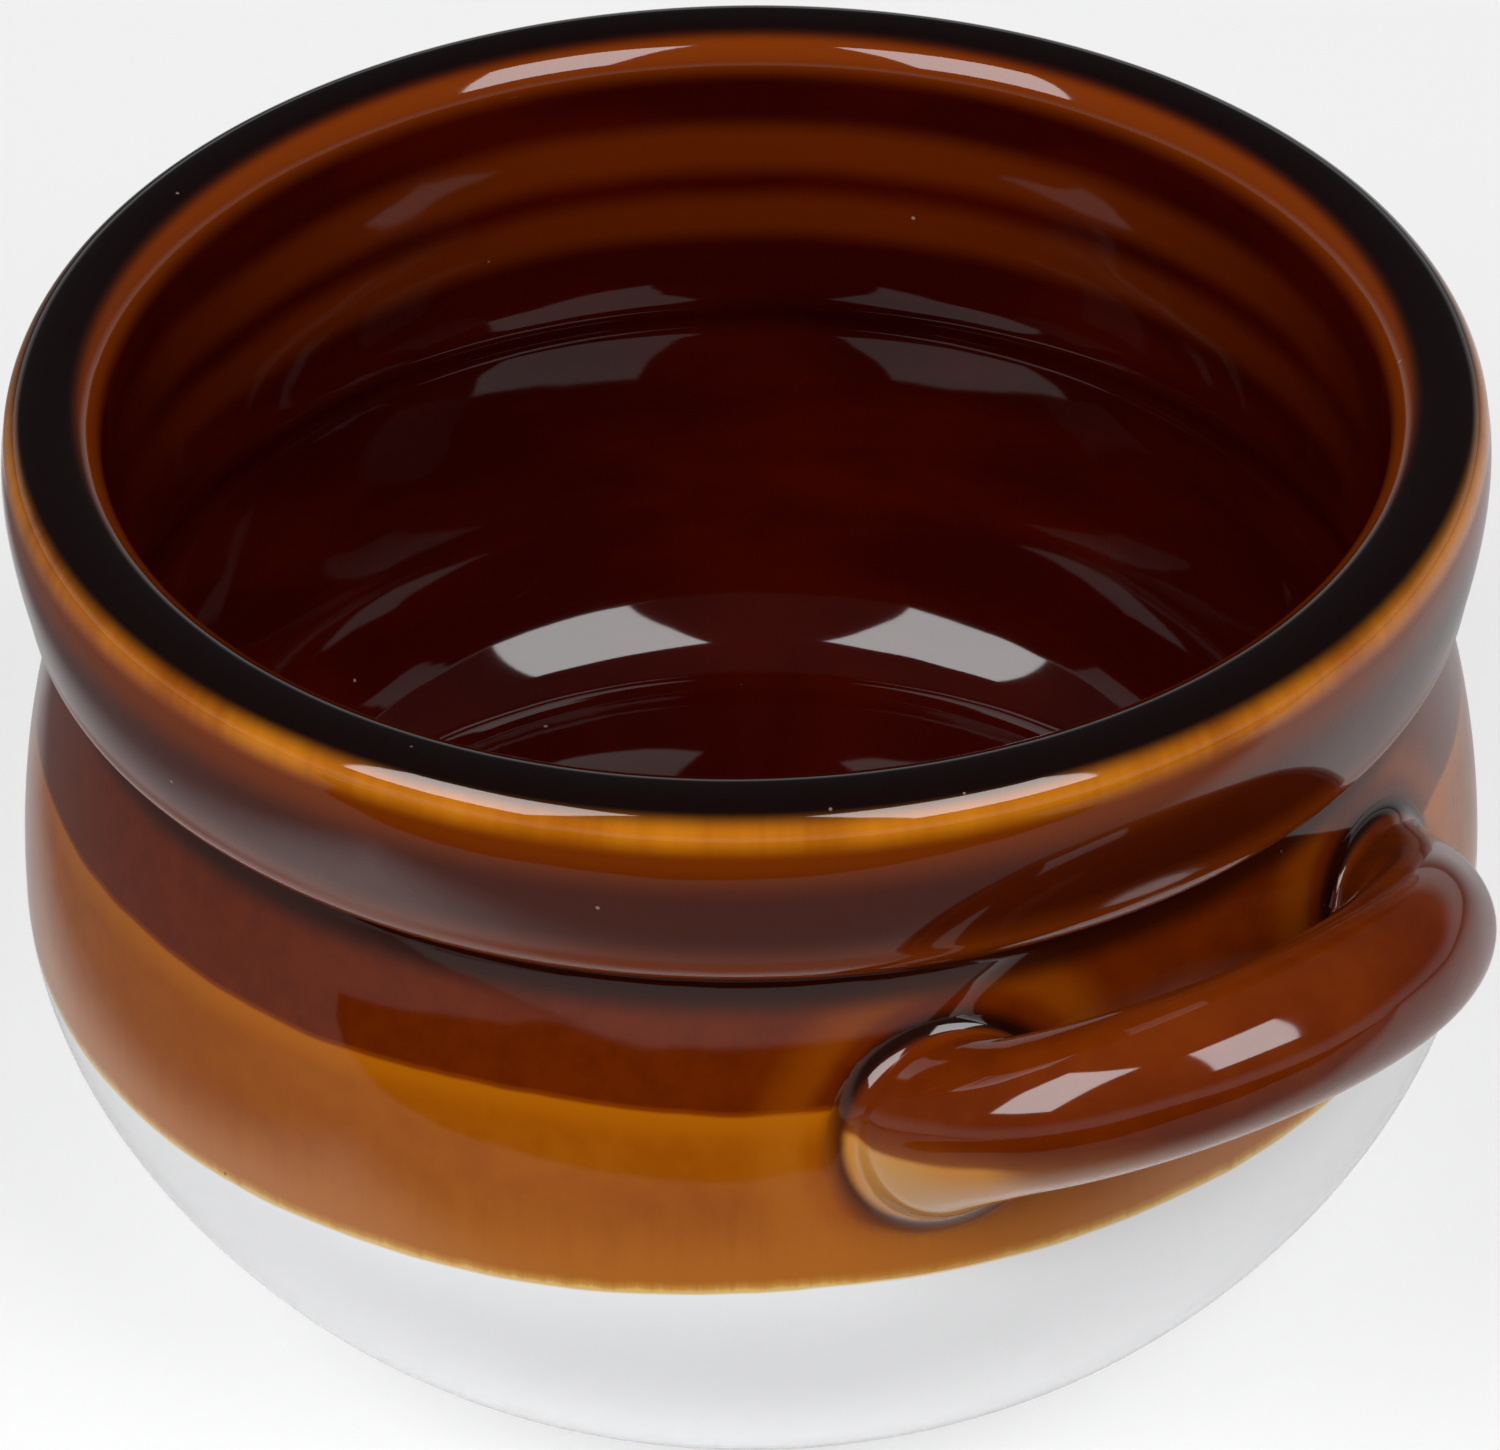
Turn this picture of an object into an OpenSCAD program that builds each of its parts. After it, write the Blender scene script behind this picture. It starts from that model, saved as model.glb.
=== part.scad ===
// French onion soup crock: a thrown stoneware bowl with a rolled collar rim, one hand-rolled
// loop handle and a two-tone dipped glaze. Millimetres, +Z up, +X through the handle.
// The origin is on the turning axis, in the plane that the foot ring stands on.

/* [Bowl] */
// Height from the resting plane to the crest of the rim
height = 77.5; // [70:0.5:90]
// How far the belly stands out past the collar, over the glaze
belly_out = 0.3; // [0:0.1:3]
// Height of the widest belly above the resting plane
belly_z = 33.5; // [30:0.5:38]
// How far the foot ring's outside lies in from the belly's widest
foot_in = 22.5; // [18:0.5:26]
// Height of the foot ring under the belly
foot_h = 2.4; // [1.8:0.1:4]
// Width of the foot ring's resting face
foot_w = 4.6; // [3:0.1:8]
// Wall thickness at the widest belly
wall = 5.5; // [4.5:0.1:7]
// Depth of the recess inside the foot ring
recess_h = 7.5; // [5:0.1:8.5]
// Thickness of the floor over the recess
floor_t = 11.1; // [9:0.1:13]
// How far the flat of the floor lies in from the widest inside
floor_in = 11.2; // [9:0.2:16]

/* [Rim] */
// Diameter of the collar at its widest, which the belly, the foot and the handle follow
rim_d = 114; // [100:0.5:130]
// Width of the rim, from the collar in to the narrowest mouth
rim_w = 7.8; // [7:0.1:9]
// Radius of the rim's inner edge
lip_r = 3.6; // [2.4:0.1:5]
// Radius of the rim's outer edge
edge_r = 3; // [2:0.1:4]
// Height of the collar, from the crest to its lower edge
collar_h = 13.9; // [11:0.1:16]
// How far the rim's outer edge lies in from the collar's widest
edge_in = 0.3; // [0:0.1:0.6]
// How far the collar's lower edge lies in from the collar's widest
collar_lean = 1.2; // [0.8:0.1:1.6]
// How far the collar's face is drawn out between those two edges
collar_swell = 0.7; // [0:0.1:0.8]
// Radius of the collar's lower edge
collar_r = 2.6; // [1.4:0.1:3]
// How far the groove under the collar cuts in from the collar's widest
groove_in = 4.4; // [4:0.1:5]
// Drop from the collar's lower edge to the bottom of the groove
groove_drop = 4; // [3.4:0.1:6]
// Thickness of the wall behind the groove
neck_wall = 3.9; // [3:0.1:4.5]

/* [Handle] */
// Diameter of the handle's bar, over the glaze
bar_d = 11.6; // [9:0.1:13]
// Distance between the middles of the two roots, along the wall
handle_span = 41.6; // [38:0.2:50]
// How far the middle of the bar stands out from the belly's widest
handle_stand = 9.4; // [8.6:0.1:14]
// Height of the roots' middles above the resting plane
root_z = 47.6; // [45:0.2:50]
// How far the bar rises from its roots to its middle
handle_rise = 8.4; // [4:0.2:9]
// Radius of the bend at each end of the bar
handle_bend_r = 14.4; // [10:0.1:15]
// How much thicker the bar is where it meets the wall
root_flare = 1.3; // [0.8:0.1:2.4]
// Length of the bar over which the roots thicken
root_grip = 8.5; // [4:0.5:9]

/* [Glaze] */
// Thickness of every glaze coat
coat = 0.5; // [0.3:0.05:0.8]
// Height of the bare edge that is wiped clean above the resting plane
wiped_h = 1.2; // [0.8:0.1:1.6]
// Height of the border from white to amber, on the axis
amber_z = 34.4; // [24:0.2:40]
// Tilt of that border, from dipping the crock off level
amber_tilt = 2.2; // [0:0.1:3]
// Height of the border from amber to brown, on the axis
brown_z = 50.1; // [45:0.1:53]
// Tilt of that border
brown_tilt = 0.6; // [0:0.1:2]
// Direction in which both borders rise, from the handle's middle
dip_turn = 54; // [0:1:90]

/* [Hidden] */
$fn = 96;

// Overrun of every cut past the face that it cuts
over = 1;
rim_r = rim_d / 2;
mouth_r = rim_r - rim_w;
groove_r = rim_r - groove_in;
belly_r = rim_r + belly_out;
foot_r = belly_r - foot_in;
handle_reach = belly_r + handle_stand;
edge_z = height - edge_r;
lip_z = height - lip_r;
collar_z = height - collar_h;
face_r = rim_r - collar_lean;
top_r = rim_r - edge_in;
groove_z = collar_z - groove_drop;
neck_r = groove_r - neck_wall;
inside_r = belly_r - wall;
inside_z = belly_z + wall;
floor_z = recess_h + floor_t;
floor_r = inside_r - floor_in;

// Where the curves' handles lie, as shares of the stretch that each curve covers
belly_share = 0.4;
underside_share = 0.32;
shoulder_share = 0.45;
eave_share = 0.5;
eave_drop_share = 0.25;
throat_share = 0.35;
face_share = 0.3;
neck_share = 0.7;
swell_share = 0.8;
bowl_share = 0.51;
corner_share = 0.54;

// Steps of a curve and of a rounded edge
curve_n = 14;
edge_n = 7;

function mix(a, b, t) = a + (b - a) * t;
function curve(p, q, r, s, n = curve_n) = [
    for (i = [0 : n])
        let (t = i / n, u = 1 - t)
        u * u * u * p + 3 * u * u * t * q + 3 * u * t * t * r + t * t * t * s
];
function arc(x, z, r, from, to, n = edge_n) = [
    for (i = [0 : n])
        let (a = mix(from, to, i / n))
        [x + r * cos(a), z + r * sin(a)]
];
function tail(list) = [for (i = [1 : len(list) - 1]) list[i]];
function reverse(list) = [for (i = [len(list) - 1 : -1 : 0]) list[i]];
// Moves each point of an outline square to it, to the left of its direction
function inset(list, d) = [
    for (i = [0 : len(list) - 1])
        let (a = list[max(i - 1, 0)], b = list[min(i + 1, len(list) - 1)], v = (b - a) / norm(b - a))
        list[i] + d * [-v[1], v[0]]
];

// Outside of the glaze, from the foot up to the crest
belly_curve = curve([foot_r, foot_h], [mix(foot_r, belly_r, underside_share), foot_h],
    [belly_r, mix(belly_z, foot_h, belly_share)], [belly_r, belly_z]);
shoulder_curve = curve([belly_r, belly_z], [belly_r, mix(belly_z, groove_z, shoulder_share)],
    [mix(groove_r, belly_r, eave_share), mix(groove_z, belly_z, eave_drop_share)], [groove_r, groove_z]);
groove_curve = curve([groove_r, groove_z], [groove_r, mix(groove_z, collar_z, throat_share)],
    [mix(groove_r, face_r - collar_r, throat_share), collar_z - collar_r],
    [face_r - collar_r, collar_z - collar_r], edge_n);
face_curve = curve([face_r, collar_z],
    [face_r + collar_swell, mix(collar_z, edge_z, face_share)],
    [top_r + collar_swell, mix(edge_z, collar_z, face_share)], [top_r, edge_z], edge_n);
collar_curve = concat(arc(face_r - collar_r, collar_z, collar_r, -90, 0), tail(face_curve),
    tail(arc(top_r - edge_r, edge_z, edge_r, 0, 90)));
outside = concat([[foot_r, 0]], belly_curve, tail(shoulder_curve), tail(groove_curve),
    tail(collar_curve), [[mouth_r + lip_r, height]]);

// Inside of the glaze, from the crest down to the axis
lip_curve = arc(mouth_r + lip_r, lip_z, lip_r, 90, 180);
neck_curve = curve([neck_r, groove_z], [neck_r, mix(groove_z, inside_z, neck_share)],
    [inside_r, mix(inside_z, groove_z, swell_share)], [inside_r, inside_z]);
bowl_curve = curve([inside_r, inside_z], [inside_r, mix(inside_z, floor_z, bowl_share)],
    [mix(floor_r, inside_r, corner_share), floor_z], [floor_r, floor_z]);
inside = concat(lip_curve, neck_curve, tail(bowl_curve), [[0, floor_z]]);

// The bare clay lies one coat under both, which meet where the crest turns into the lip
clay = inset(concat(outside, tail(inside)), coat);
crest_i = len(outside) - 1;
clay_outside = [for (i = [0 : crest_i]) clay[i]];
clay_inside = [for (i = [crest_i : len(clay) - 1]) clay[i]];

// Turned solid from an outline that starts on the resting plane, filled to the axis
module filled(outline) {
    rotate_extrude()
        polygon(concat([[0, 0]], outline, [[0, outline[len(outline) - 1][1]]]));
}

// Turned shell between an outline and the clay under it
module shell(outline, under) {
    rotate_extrude()
        polygon(concat(outline, reverse(under)));
}

// The handle: a bow between two bends, tangent to each other, in a plane that rises from the wall
root_r = clay_radius(root_z);
root_turn = asin(handle_span / 2 / root_r);
root_x = root_r * cos(root_turn);
half_span = handle_span / 2;
handle_tilt = atan2(handle_rise, handle_reach - root_x);
depth = norm([handle_reach - root_x, handle_rise]);
bend_x = half_span - handle_bend_r;
bend_y = depth - handle_bend_r;
back = (bend_x * bend_x - bend_y * bend_y) / (2 * bend_y);
bow_r = back + depth;
bow_turn = atan2(bend_x, back);
bar_r = bar_d / 2;

// Rings of the bar's sweep, and points round each ring
leg_n = 3;
bend_n = 10;
bow_n = 16;
ring_n = 28;

// Radius of the clay's outside at a height on the shoulder
function clay_radius(z) = lookup(z, [
    for (p = inset(concat(belly_curve, tail(shoulder_curve)), coat)) [p[1], p[0]]
]);

// Half of the bar's middle line: [outwards, sideways, heading, length from the root]
half_line = concat(
    [for (i = [0 : leg_n - 1]) let (s = -wall * (leg_n - i) / leg_n) [s, half_span, 0, s]],
    [for (i = [0 : bend_n])
        let (a = (90 - bow_turn) * i / bend_n)
        [handle_bend_r * sin(a), bend_x + handle_bend_r * cos(a), a, handle_bend_r * a * PI / 180]],
    [for (i = [1 : bow_n / 2])
        let (a = mix(bow_turn, 0, 2 * i / bow_n))
        [bow_r * cos(a) - back, bow_r * sin(a), 90 - a, root_grip]]
);
middle_line = concat(half_line, [
    for (p = tail(reverse(half_line))) [p[0], -p[1], 180 - p[2], p[3]]
]);

// Extra radius of the clay smoothed round a root, at a length along the bar from the wall
function flare(s) = root_flare * pow(max(root_grip - max(s, 0), 0) / root_grip, 2);

function ring(p, r) = [
    for (i = [0 : ring_n - 1])
        let (a = 360 * i / ring_n, w = r + flare(p[3]))
        [p[0] + w * cos(a) * sin(p[2]), p[1] + w * cos(a) * cos(p[2]), w * sin(a)]
];

// The whole handle with a bar of one radius, its roots running into the wall
module handle_form(r) {
    last = len(middle_line) - 1;
    translate([root_x, 0, root_z])
        rotate([0, -handle_tilt, 0])
            polyhedron(
                points = [for (p = middle_line) each ring(p, r)],
                faces = concat(
                    [[for (i = [0 : ring_n - 1]) i]],
                    [for (j = [0 : last - 1], i = [0 : ring_n - 1])
                        let (k = (i + 1) % ring_n, u = j * ring_n, v = u + ring_n)
                        [u + i, v + i, v + k, u + k]],
                    [[for (i = [ring_n - 1 : -1 : 0]) last * ring_n + i]]
                ),
                convexity = 6
            );
}

// Everything below a dip's border plane
module below(z, tilt) {
    rotate([0, 0, dip_turn])
        translate([0, 0, z])
            rotate([0, -tilt, 0])
                translate([-height, -height, -2 * height])
                    cube([2 * height, 2 * height, 2 * height]);
}

module outer_coat() {
    difference() {
        shell(outside, clay_outside);
        translate([0, 0, -over])
            cylinder(h = wiped_h + over, r = rim_r);
        handle_form(bar_r);
    }
}

module bowl() {
    color("tan")
        difference() {
            filled(clay_outside);
            rotate_extrude()
                polygon(concat([[0, height + over], [clay_inside[0][0], height + over]], clay_inside));
            translate([0, 0, -over])
                cylinder(h = recess_h + over, r = foot_r - coat - foot_w);
        }
}

module handle() {
    color("peru")
        difference() {
            handle_form(bar_r - coat);
            filled(clay_outside);
        }
}

module base_glaze() {
    color("whitesmoke")
        intersection() {
            outer_coat();
            below(amber_z, amber_tilt);
        }
}

module amber_glaze() {
    color("darkgoldenrod")
        difference() {
            intersection() {
                outer_coat();
                below(brown_z, brown_tilt);
            }
            below(amber_z, amber_tilt);
        }
}

module brown_glaze() {
    color("saddlebrown")
        difference() {
            outer_coat();
            below(brown_z, brown_tilt);
        }
}

module liner_glaze() {
    color([0.25, 0.08, 0.03])
        shell(inside, clay_inside);
}

module handle_glaze() {
    color("sienna")
        difference() {
            handle_form(bar_r);
            handle_form(bar_r - coat);
            filled(clay_outside);
        }
}

bowl();
handle();
base_glaze();
amber_glaze();
brown_glaze();
liner_glaze();
handle_glaze();
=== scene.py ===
import math
import bpy
from mathutils import Matrix, Vector


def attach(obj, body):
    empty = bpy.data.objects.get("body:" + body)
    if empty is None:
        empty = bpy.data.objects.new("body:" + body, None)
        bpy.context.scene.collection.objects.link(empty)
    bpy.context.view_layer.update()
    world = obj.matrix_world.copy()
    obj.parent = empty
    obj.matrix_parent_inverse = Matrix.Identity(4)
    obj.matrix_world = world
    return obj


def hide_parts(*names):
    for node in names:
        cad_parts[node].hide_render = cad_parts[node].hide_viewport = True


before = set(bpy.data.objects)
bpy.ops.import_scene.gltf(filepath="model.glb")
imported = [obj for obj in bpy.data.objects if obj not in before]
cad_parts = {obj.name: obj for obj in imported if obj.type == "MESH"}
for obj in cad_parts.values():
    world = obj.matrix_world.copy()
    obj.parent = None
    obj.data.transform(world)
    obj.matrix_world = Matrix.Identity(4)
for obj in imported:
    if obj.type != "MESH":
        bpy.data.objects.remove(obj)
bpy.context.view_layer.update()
MM = 0.001


# The camera stands where the photographer's did: looking down into the crock from the front left of
# the handle. The mouth's middle lies above the middle of the frame, and the horizon leans a little.
frame_w_px, frame_h_px = 1500, 1450
mouth_px = (745.3, 385.1)
mouth_plane = 76.7 * MM
view_from_deg = -36.7
view_down_deg = 33.65
view_roll_deg = -0.76
view_distance = 660 * MM
focal_px = 8645
sensor_mm = 36


def aim_camera():
    down, around = math.radians(view_down_deg), math.radians(view_from_deg)
    level = Vector((math.cos(around), math.sin(around), 0))
    target = Vector((0, 0, mouth_plane))
    away = level * math.cos(down) + Vector((0, 0, math.sin(down)))
    forward = -away
    right = forward.cross(Vector((0, 0, 1))).normalized()
    below = forward.cross(right)
    seen = Vector((mouth_px[0] - frame_w_px / 2, mouth_px[1] - frame_h_px / 2, focal_px)).normalized()
    ahead = Vector((0, 0, 1))
    turn = ahead.rotation_difference(seen).to_matrix()
    roll = Matrix.Rotation(math.radians(view_roll_deg), 3, seen)
    axes = roll @ turn @ Matrix((right, below, forward))
    basis = Matrix((axes[0], -Vector(axes[1]), -Vector(axes[2]))).transposed()
    data = bpy.data.cameras.new("photo_camera")
    data.sensor_fit = "HORIZONTAL"
    data.sensor_width = sensor_mm
    data.lens = focal_px / frame_w_px * sensor_mm
    data.clip_start, data.clip_end = 0.01, 20
    camera = bpy.data.objects.new("photo_camera", data)
    camera.matrix_world = Matrix.Translation(target + away * view_distance) @ basis.to_4x4()
    bpy.context.scene.collection.objects.link(camera)
    bpy.context.scene.camera = camera


aim_camera()


# The clay: a bowl thrown in buff stoneware and a rolled loop handle luted to its belly. Both are
# hidden under the glaze but for the foot, which is wiped clean so that it doesn't stick to the shelf.
def node(tree, kind, inputs=None, **settings):
    made = tree.nodes.new(kind)
    for key, value in settings.items():
        setattr(made, key, value)
    for key, value in (inputs or {}).items():
        if isinstance(value, bpy.types.NodeSocket):
            tree.links.new(value, made.inputs[key])
        else:
            made.inputs[key].default_value = value
    return made


def calc(tree, operation, *values, clamp=False):
    made = node(tree, "ShaderNodeMath", dict(enumerate(values)), operation=operation, use_clamp=clamp)
    return made.outputs[0]


def ramp(tree, value, low, high, start=0.0, end=1.0):
    made = node(tree, "ShaderNodeMapRange", {0: value, 1: low, 2: high, 3: start, 4: end})
    made.interpolation_type = "SMOOTHSTEP"
    return made.outputs[0]


def blend_colour(tree, share, under, over):
    made = node(tree, "ShaderNodeMix", data_type="RGBA", clamp_factor=True)
    for socket, value in zip((made.inputs[0], made.inputs[6], made.inputs[7]), (share, under, over)):
        if isinstance(value, bpy.types.NodeSocket):
            tree.links.new(value, socket)
        elif isinstance(value, tuple):
            socket.default_value = (*value, 1)
        else:
            socket.default_value = value
    return made.outputs[2]


def place_of(tree):
    return node(tree, "ShaderNodeTexCoord").outputs["Object"]


def noise(tree, vector, scale, detail=2.0, roughness=0.5, **settings):
    made = node(tree, "ShaderNodeTexNoise", {"Vector": vector, "Scale": scale, "Detail": detail,
                                             "Roughness": roughness}, **settings)
    return made.outputs["Fac"]


def new_material(name):
    material = bpy.data.materials.new(name)
    material.use_nodes = True
    tree = material.node_tree
    return material, tree, tree.nodes["Principled BSDF"]


def stoneware():
    grog_per_m, cloud_per_m = 2600, 160
    clay_shade, clay_light, iron_brown = (0.56, 0.47, 0.36), (0.68, 0.60, 0.49), (0.22, 0.13, 0.07)
    material, tree, shader = new_material("dry_stoneware")
    place = place_of(tree)
    cloud = noise(tree, place, cloud_per_m, 4)
    grog = noise(tree, place, grog_per_m, 3)
    clay = blend_colour(tree, cloud, clay_shade, clay_light)
    iron = ramp(tree, grog, 0.66, 0.72)
    tree.links.new(blend_colour(tree, iron, clay, iron_brown), shader.inputs["Base Color"])
    shader.inputs["Roughness"].default_value = 0.85
    shader.inputs["Specular IOR Level"].default_value = 0.3
    bump = node(tree, "ShaderNodeBump", {"Height": grog, "Strength": 0.35, "Distance": 0.15 * MM})
    tree.links.new(bump.outputs[0], shader.inputs["Normal"])
    return material


dry_clay = stoneware()
for clay_node in ("bowl", "handle"):
    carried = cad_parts[clay_node]
    carried.data.materials.clear()
    carried.data.materials.append(dry_clay)


# The white base glaze: the whole crock was dipped in it first, and it still shows on the lower belly.
# It follows the turned outline of the pot, which every coat outside and inside shares.
height = 77.5
foot_r, foot_h, wiped_h = 34.8, 2.4, 1.2
belly_r, belly_z = 57.3, 33.5
groove_r, groove_z = 52.6, 59.6
collar_z, face_r, collar_r, collar_swell = 63.6, 55.8, 2.6, 0.7
top_r, edge_r = 56.7, 3.0
mouth_r, lip_r = 49.2, 3.6
neck_r, inside_r, inside_z = 48.7, 51.8, 39.0
floor_r, floor_z = 40.6, 18.6
coat = 0.5


def between(a, b, share):
    return a + (b - a) * share


def curve_points(p, q, r, s, steps=60):
    points = []
    for i in range(1, steps + 1):
        t = i / steps
        a, b, c, d = (1 - t) ** 3, 3 * (1 - t) ** 2 * t, 3 * (1 - t) * t * t, t ** 3
        points.append(tuple(a * p[k] + b * q[k] + c * r[k] + d * s[k] for k in (0, 1)))
    return points


def arc_points(x, z, r, start_deg, end_deg, steps=20):
    turns = [math.radians(between(start_deg, end_deg, i / steps)) for i in range(steps + 1)]
    return [(x + r * math.cos(a), z + r * math.sin(a)) for a in turns]


outside_line = [(foot_r, wiped_h), (foot_r, foot_h)]
outside_line += curve_points(outside_line[-1], (between(foot_r, belly_r, 0.32), foot_h),
                             (belly_r, between(belly_z, foot_h, 0.4)), (belly_r, belly_z), 120)
outside_line += curve_points(outside_line[-1], (belly_r, between(belly_z, groove_z, 0.45)),
                             (between(groove_r, belly_r, 0.5), between(groove_z, belly_z, 0.25)),
                             (groove_r, groove_z), 90)
outside_line += curve_points(outside_line[-1], (groove_r, between(groove_z, collar_z, 0.35)),
                             (between(groove_r, face_r - collar_r, 0.35), collar_z - collar_r),
                             (face_r - collar_r, collar_z - collar_r), 20)
outside_line += arc_points(face_r - collar_r, collar_z, collar_r, -90, 0)[1:]
edge_z = height - edge_r
outside_line += curve_points(outside_line[-1], (face_r + collar_swell, between(collar_z, edge_z, 0.3)),
                             (top_r + collar_swell, between(edge_z, collar_z, 0.3)), (top_r, edge_z), 30)
outside_line += arc_points(top_r - edge_r, edge_z, edge_r, 0, 90)[1:]
inside_line = arc_points(mouth_r + lip_r, height - lip_r, lip_r, 90, 180)
inside_line.append((neck_r, groove_z))
inside_line += curve_points(inside_line[-1], (neck_r, between(groove_z, inside_z, 0.7)),
                            (inside_r, between(inside_z, groove_z, 0.8)), (inside_r, inside_z))
inside_line += curve_points(inside_line[-1], (inside_r, between(inside_z, floor_z, 0.51)),
                            (between(floor_r, inside_r, 0.54), floor_z), (floor_r, floor_z), 90)
inside_line.append((0.0, floor_z))
outline = outside_line + inside_line


def share_at(z_wanted):
    """How far along the outline, from 0 to 1, the outside passes a height."""
    steps = [math.dist(a, b) for a, b in zip(outline, outline[1:])]
    gone = 0
    for (a, b), step in zip(zip(outside_line, outside_line[1:]), steps):
        if a[1] <= z_wanted <= b[1] and step > 0:
            return (gone + step * (z_wanted - a[1]) / (b[1] - a[1])) / sum(steps)
        gone += step
    return gone / sum(steps)


def turned_coat_tree():
    """Geometry nodes that turn a stretch of the outline into a closed shell of glaze."""
    border_waves, ring_waves, weld = 2.6, 0.5, 0.002 * MM
    tree = bpy.data.node_groups.new("turned_coat", "GeometryNodeTree")
    sockets = (("Outline", "Geometry"), ("Start", "Float"), ("Start tilt", "Float"),
               ("Start ripple", "Float"), ("End", "Float"), ("End tilt", "Float"),
               ("End ripple", "Float"), ("Dip turn", "Float"), ("Coat", "Float"),
               ("Throwing rings", "Float"), ("Ring pitch", "Float"), ("Around", "Int"),
               ("Rows", "Int"), ("Seed", "Int"), ("Glaze", "Material"))
    for name, kind in sockets:
        tree.interface.new_socket(name=name, in_out="INPUT", socket_type="NodeSocket" + kind)
    tree.interface.new_socket(name="Coat", in_out="OUTPUT", socket_type="NodeSocketGeometry")
    given = node(tree, "NodeGroupInput").outputs
    around = calc(tree, "ADD", given["Around"], 1.0)
    twice = calc(tree, "MULTIPLY", given["Rows"], 2.0)
    grid = node(tree, "GeometryNodeMeshGrid", {"Size X": 1.0, "Size Y": 1.0, "Vertices X": around,
                                               "Vertices Y": calc(tree, "ADD", twice, 1.0)})
    place = node(tree, "ShaderNodeSeparateXYZ", {0: node(tree, "GeometryNodeInputPosition").outputs[0]})
    turn = calc(tree, "MULTIPLY", calc(tree, "ADD", place.outputs[0], 0.5), math.tau)
    cosine, sine = calc(tree, "COSINE", turn), calc(tree, "SINE", turn)
    # Rows run up the outside of the shell, back down its inside, and end where they began
    row = calc(tree, "ROUND", calc(tree, "MULTIPLY", calc(tree, "ADD", place.outputs[1], 0.5), twice))
    last = calc(tree, "SUBTRACT", given["Rows"], 1.0)
    inner = calc(tree, "GREATER_THAN", row, calc(tree, "ADD", last, 0.5))
    closing = calc(tree, "GREATER_THAN", row, calc(tree, "SUBTRACT", twice, 0.5))
    inner = calc(tree, "SUBTRACT", inner, closing)
    going_back = calc(tree, "SUBTRACT", calc(tree, "SUBTRACT", twice, 1.0), row)
    step = calc(tree, "ADD", calc(tree, "MULTIPLY", row, calc(tree, "SUBTRACT", 1.0, inner)),
                calc(tree, "MULTIPLY", going_back, inner))
    step = calc(tree, "MULTIPLY", step, calc(tree, "SUBTRACT", 1.0, closing))
    along = calc(tree, "DIVIDE", step, last)
    line = node(tree, "GeometryNodeMeshToCurve", {"Mesh": given["Outline"]}).outputs[0]
    length = node(tree, "GeometryNodeCurveLength", {0: line}).outputs[0]
    ring = node(tree, "ShaderNodeCombineXYZ", {0: cosine, 1: sine}).outputs[0]

    def border(name, seed):
        lean = calc(tree, "COSINE", calc(tree, "SUBTRACT", turn, given["Dip turn"]))
        wave = node(tree, "ShaderNodeTexNoise", {"Vector": ring, "W": seed, "Scale": border_waves,
                                                 "Detail": 4.0, "Roughness": 0.55},
                    noise_dimensions="4D").outputs["Fac"]
        wave = calc(tree, "MULTIPLY", calc(tree, "SUBTRACT", wave, 0.5), given[name + " ripple"])
        rise = calc(tree, "ADD", calc(tree, "MULTIPLY", lean, given[name + " tilt"]), wave)
        return calc(tree, "ADD", given[name], calc(tree, "DIVIDE", rise, length))

    low = border("Start", given["Seed"])
    high = border("End", calc(tree, "ADD", given["Seed"], 1.0))
    reach = calc(tree, "SUBTRACT", high, low)
    share = calc(tree, "ADD", low, calc(tree, "MULTIPLY", reach, along), clamp=True)
    spot = node(tree, "GeometryNodeSampleCurve", {"Curves": line, "Factor": share},
                mode="FACTOR", data_type="FLOAT")
    at = node(tree, "ShaderNodeSeparateXYZ", {0: spot.outputs["Position"]}).outputs
    run = node(tree, "ShaderNodeSeparateXYZ", {0: spot.outputs["Tangent"]}).outputs
    thrown = calc(tree, "DIVIDE", calc(tree, "MULTIPLY", share, length), given["Ring pitch"])
    rings = node(tree, "ShaderNodeTexNoise", {"Vector": ring, "W": thrown, "Scale": ring_waves,
                                                 "Detail": 1.0}, noise_dimensions="4D").outputs["Fac"]
    lift = calc(tree, "MULTIPLY", calc(tree, "SUBTRACT", rings, 0.5), given["Throwing rings"])
    sunk = calc(tree, "MULTIPLY", given["Coat"], -1.0)
    off = calc(tree, "ADD", calc(tree, "MULTIPLY", lift, calc(tree, "SUBTRACT", 1.0, inner)),
               calc(tree, "MULTIPLY", sunk, inner))
    radius = calc(tree, "ADD", at[0], calc(tree, "MULTIPLY", run[2], off))
    radius = calc(tree, "MAXIMUM", radius, 0.0)
    level = calc(tree, "SUBTRACT", at[2], calc(tree, "MULTIPLY", run[0], off))
    point = node(tree, "ShaderNodeCombineXYZ", {0: calc(tree, "MULTIPLY", radius, cosine),
                                                1: calc(tree, "MULTIPLY", radius, sine), 2: level})
    kept = grid.outputs["Mesh"]
    for name, value in (("from_start", calc(tree, "MULTIPLY", along, reach)),
                        ("from_end", calc(tree, "MULTIPLY", calc(tree, "SUBTRACT", 1.0, along), reach))):
        metres = calc(tree, "MULTIPLY", value, length)
        kept = node(tree, "GeometryNodeStoreNamedAttribute", {"Geometry": kept, "Name": name,
                                                              "Value": metres}).outputs[0]
    turned = node(tree, "GeometryNodeSetPosition", {"Geometry": kept, "Position": point.outputs[0]})
    closed = node(tree, "GeometryNodeMergeByDistance", {"Geometry": turned.outputs[0],
                                                        "Distance": weld})
    smooth = node(tree, "GeometryNodeSetShadeSmooth", {"Geometry": closed.outputs[0]})
    whole = node(tree, "GeometryNodeRealizeInstances", {"Geometry": smooth.outputs[0]})
    glazed = node(tree, "GeometryNodeSetMaterial", {"Geometry": whole.outputs[0],
                                                    "Material": given["Glaze"]})
    node(tree, "NodeGroupOutput", {0: glazed.outputs[0]})
    return tree


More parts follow.
